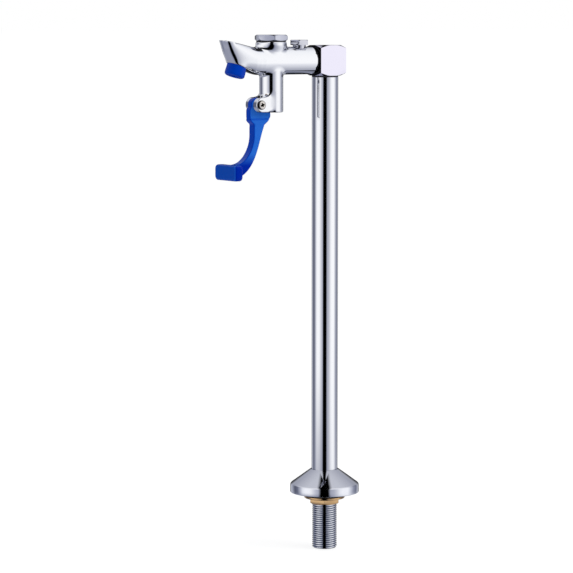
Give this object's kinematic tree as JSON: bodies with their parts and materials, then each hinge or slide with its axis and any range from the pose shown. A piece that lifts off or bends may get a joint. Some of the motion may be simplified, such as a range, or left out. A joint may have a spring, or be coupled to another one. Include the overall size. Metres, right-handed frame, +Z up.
{
  "type": "glass filler faucet",
  "caption": "Deck-mounted glass filler: flanged riser pipe, square elbow and forward head with a self-closing valve, a push-back lever and a soft nozzle.",
  "frame": {"origin": "on the riser's axis in the deck plane, where the flange rests", "axes": "+Z up along the riser, -Y forward along the head to the nozzle, +X across to the pivot screw's head"},
  "size_m": [0.0584, 0.1331, 0.4362],
  "materials": {
    "chrome": "polished chrome plate on brass",
    "brass": "turned, bare",
    "steel": "turned stainless steel",
    "black_rubber": "moulded, matt",
    "blue_rubber": "moulded, soft",
    "blue_plastic": "moulded, slightly glossy"
  },
  "bodies": {
    "root": {"base_flange": "chrome", "deck_gasket": "black_rubber", "mounting_shank": "chrome", "shank_o_rings": "black_rubber", "riser_pipe": "chrome", "riser_top_insert": "brass", "riser_top_ring": "black_rubber", "block_nipple": "brass", "elbow_block": "chrome", "head_nipple": "brass", "head_ring": "black_rubber", "head_body": "chrome", "regulator_gland": "chrome", "regulator_o_ring": "black_rubber", "hex_cap": "chrome", "cap_gasket": "black_rubber", "valve_spring": "steel", "valve_seat": "brass", "stem_guide": "brass", "stem_o_rings": "black_rubber", "pivot_screw": "steel", "nozzle_stub": "brass", "nozzle_tip": "blue_rubber"},
    "push_lever": {"lever": "blue_plastic"},
    "valve": {"valve_stem": "steel", "valve_disc": "brass", "seat_washer": "black_rubber", "stem_nut": "brass"},
    "regulator": {"regulator_stem": "brass"},
    "deck_nut": {"lock_nut": "brass", "clamp_washer": "black_rubber"}
  },
  "joints": [
    {"name": "lever_push", "type": "hinge", "parent": "root", "child": "push_lever", "pos_m": [0, -0.0696, 0.3306], "axis": [1, 0, 0], "range_deg": [0, 15], "stiffness_Nm_per_rad": 0.4, "springref_deg": -14.32},
    {"name": "stem_lift", "type": "slide", "parent": "root", "child": "valve", "axis": [0, 0, 1], "range_m": [0, 0.0042], "deforming": ["valve_spring"]},
    {"name": "regulator_turn", "type": "hinge", "parent": "root", "child": "regulator", "pos_m": [0, -0.0262, 0.3667], "axis": [0, 0, 1], "range_deg": [0, 90]},
    {"name": "deck_nut_run", "type": "slide", "parent": "root", "child": "deck_nut", "axis": [0, 0, -1], "range_m": [0, 0.036]}
  ],
  "couplings": [
    {"joint": "stem_lift", "follows": "lever_push", "m_per_rad": 0.0156}
  ]
}
